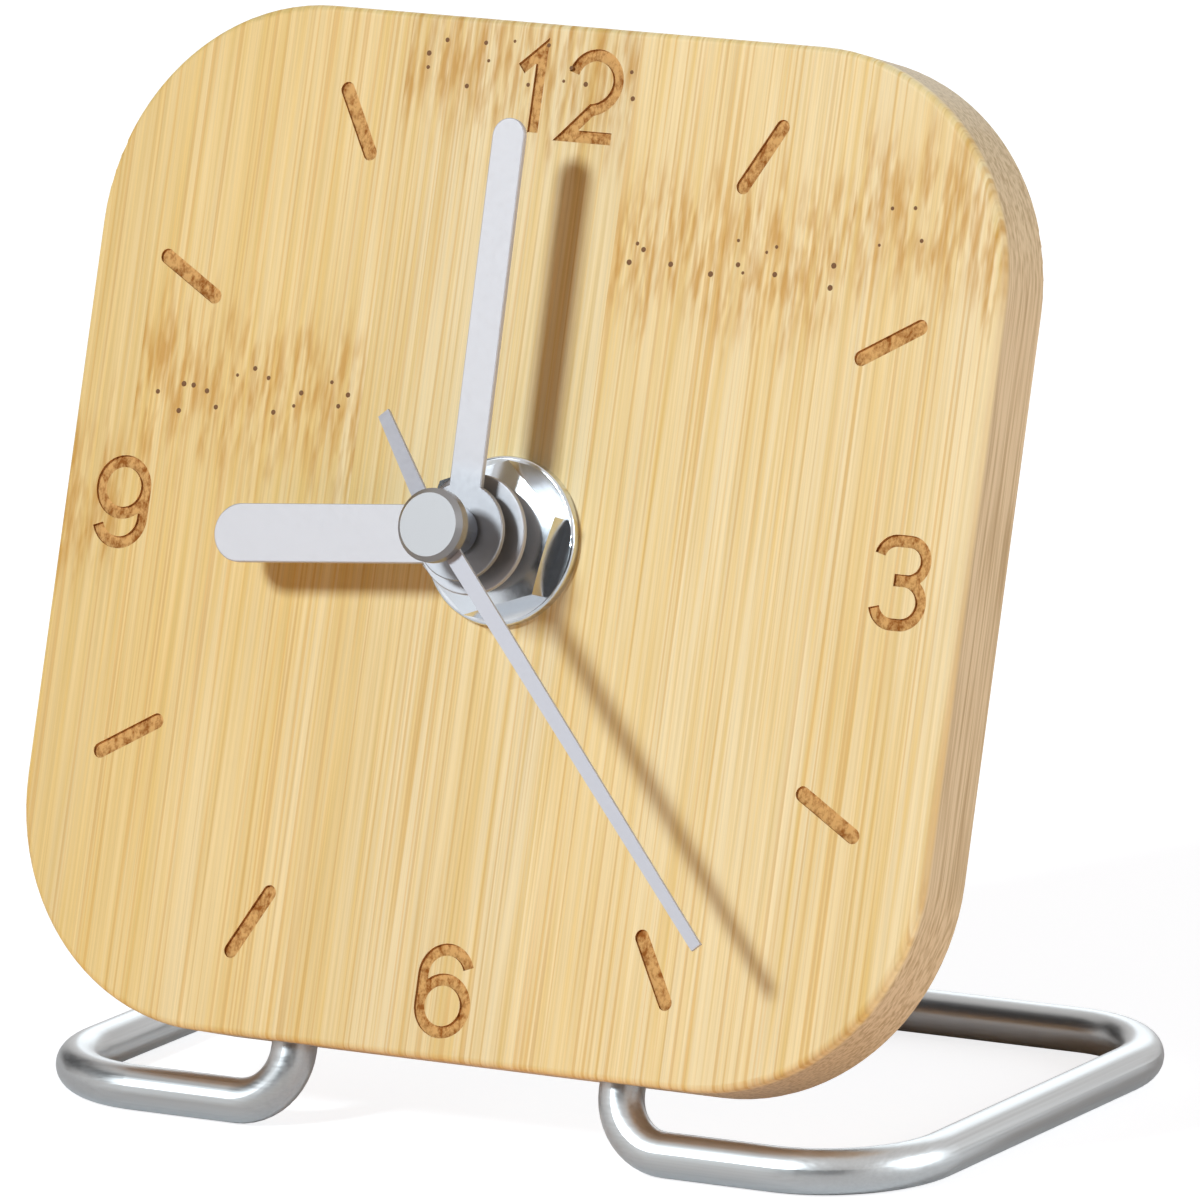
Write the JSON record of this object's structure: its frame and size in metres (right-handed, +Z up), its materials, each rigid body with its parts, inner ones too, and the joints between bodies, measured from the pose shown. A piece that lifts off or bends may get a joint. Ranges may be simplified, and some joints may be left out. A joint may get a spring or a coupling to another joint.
{
  "type": "desk clock",
  "caption": "Small desk clock: a leaning rounded-square bamboo panel with an engraved dial and silver hands, on a bent wire stand, with a battery quartz movement behind.",
  "frame": {"origin": "on the table, under the middle of the wire stand's floor loop", "axes": "+Z up, -Y towards the viewer of the dial, +X to the dial's right-hand side"},
  "size_m": [0.09, 0.0633, 0.0941],
  "materials": {
    "bamboo": "pale bamboo, oiled, with fine upright streaks and burnt engraving",
    "steel_wire": "brushed along the wire",
    "plated_washer": "bright nickel",
    "chromed_nut": "bright chrome",
    "brass_bush": "turned, threaded outside",
    "gasket_rubber": "matte",
    "case_plastic": "black, fine texture",
    "cover_plastic": "black, fine texture",
    "screw_steel": "plated",
    "arbor_steel": "turned",
    "plate_plastic": "dark grey",
    "motor_iron": "stamped sheet",
    "bobbin_plastic": "natural white",
    "copper_winding": "enamelled copper",
    "board_green": "solder mask",
    "chip_resin": "black resin drop",
    "crystal_can": "drawn can",
    "contact_metal": "nickel plated strip",
    "hand_silver": "satin silver",
    "second_silver": "satin silver, thin strip",
    "cap_silver": "satin with a bevelled edge",
    "hub_metal": "turned",
    "brass_pipe": "turned",
    "wheel_plastic": "moulded white",
    "magnet_dark": "sintered magnet",
    "knob_plastic": "black, ridged",
    "battery_can": "nickel plated",
    "battery_wrap": "plain dark wrap with a plain band"
  },
  "bodies": {
    "clock_body": {"bamboo_panel": "bamboo", "wire_stand": "steel_wire", "mounting_washer": "plated_washer", "hex_nut": "chromed_nut", "threaded_bush": "brass_bush", "rubber_gasket": "gasket_rubber", "movement_case": "case_plastic", "rear_cover": "cover_plastic", "cover_screws": "screw_steel", "train_plate": "plate_plastic", "plate_screws": "screw_steel", "intermediate_pin": "arbor_steel", "stator": "motor_iron", "coil_core": "motor_iron", "core_screws": "screw_steel", "coil_bobbin": "bobbin_plastic", "coil_winding": "copper_winding", "circuit_board": "board_green", "chip": "chip_resin", "quartz_crystal": "crystal_can", "positive_contact": "contact_metal", "negative_contact": "contact_metal"},
    "minute_group": {"minute_hand": "hand_silver", "minute_pipe": "brass_pipe"},
    "centre_group": {"centre_wheel": "wheel_plastic"},
    "hour_group": {"hour_hand": "hand_silver", "hour_wheel": "wheel_plastic"},
    "second_group": {"second_hand": "second_silver", "second_hand_hub": "hub_metal", "second_hand_cap": "cap_silver", "second_arbor": "arbor_steel", "second_wheel": "wheel_plastic"},
    "third_group": {"third_wheel": "wheel_plastic"},
    "intermediate_group": {"intermediate_wheel": "wheel_plastic"},
    "rotor_group": {"rotor_pinion": "wheel_plastic", "rotor_magnet": "magnet_dark"},
    "motion_group": {"motion_wheel": "wheel_plastic"},
    "setting_group": {"setting_arbor": "wheel_plastic", "setting_knob": "knob_plastic"},
    "battery": {"battery_cell": "battery_can", "battery_sleeve": "battery_wrap"}
  },
  "joints": [
    {"name": "minute_turn", "type": "hinge", "parent": "clock_body", "child": "minute_group", "pos_m": [0, -0.00371, 0.04758], "axis": [0, 0.9537, -0.3007], "continuous": true},
    {"name": "hour_turn", "type": "hinge", "parent": "clock_body", "child": "hour_group", "pos_m": [0, -0.00371, 0.04758], "axis": [0, 0.9537, -0.3007], "continuous": true},
    {"name": "second_turn", "type": "hinge", "parent": "clock_body", "child": "second_group", "pos_m": [0, -0.00371, 0.04758], "axis": [0, 0.9537, -0.3007], "continuous": true},
    {"name": "centre_turn", "type": "hinge", "parent": "clock_body", "child": "centre_group", "pos_m": [0, -0.00371, 0.04758], "axis": [0, 0.9537, -0.3007], "continuous": true},
    {"name": "third_turn", "type": "hinge", "parent": "clock_body", "child": "third_group", "pos_m": [0.00703, -0.00294, 0.05002], "axis": [0, 0.9537, -0.3007], "continuous": true},
    {"name": "intermediate_turn", "type": "hinge", "parent": "clock_body", "child": "intermediate_group", "pos_m": [-0.00122, -0.00164, 0.05415], "axis": [0, 0.9537, -0.3007], "continuous": true},
    {"name": "rotor_turn", "type": "hinge", "parent": "clock_body", "child": "rotor_group", "pos_m": [0.00118, -0.00039, 0.05812], "axis": [0, 0.9537, -0.3007], "continuous": true},
    {"name": "motion_turn", "type": "hinge", "parent": "clock_body", "child": "motion_group", "pos_m": [-0.00564, -0.00433, 0.04562], "axis": [0, 0.9537, -0.3007], "continuous": true},
    {"name": "setting_turn", "type": "hinge", "parent": "clock_body", "child": "setting_group", "pos_m": [-0.01083, -0.00343, 0.04848], "axis": [0, 0.9537, -0.3007], "continuous": true},
    {"name": "battery_slide", "type": "slide", "parent": "clock_body", "child": "battery", "axis": [0, 0.9537, -0.3007], "range_m": [0, 0.02]}
  ],
  "couplings": [
    {"joint": "hour_turn", "follows": "minute_turn", "ratio": 0.083333},
    {"joint": "motion_turn", "follows": "minute_turn", "ratio": -0.33333},
    {"joint": "setting_turn", "follows": "minute_turn", "ratio": 1},
    {"joint": "third_turn", "follows": "second_turn", "ratio": -0.13333},
    {"joint": "centre_turn", "follows": "second_turn", "ratio": 0.016667},
    {"joint": "intermediate_turn", "follows": "second_turn", "ratio": -6},
    {"joint": "rotor_turn", "follows": "second_turn", "ratio": 30}
  ]
}
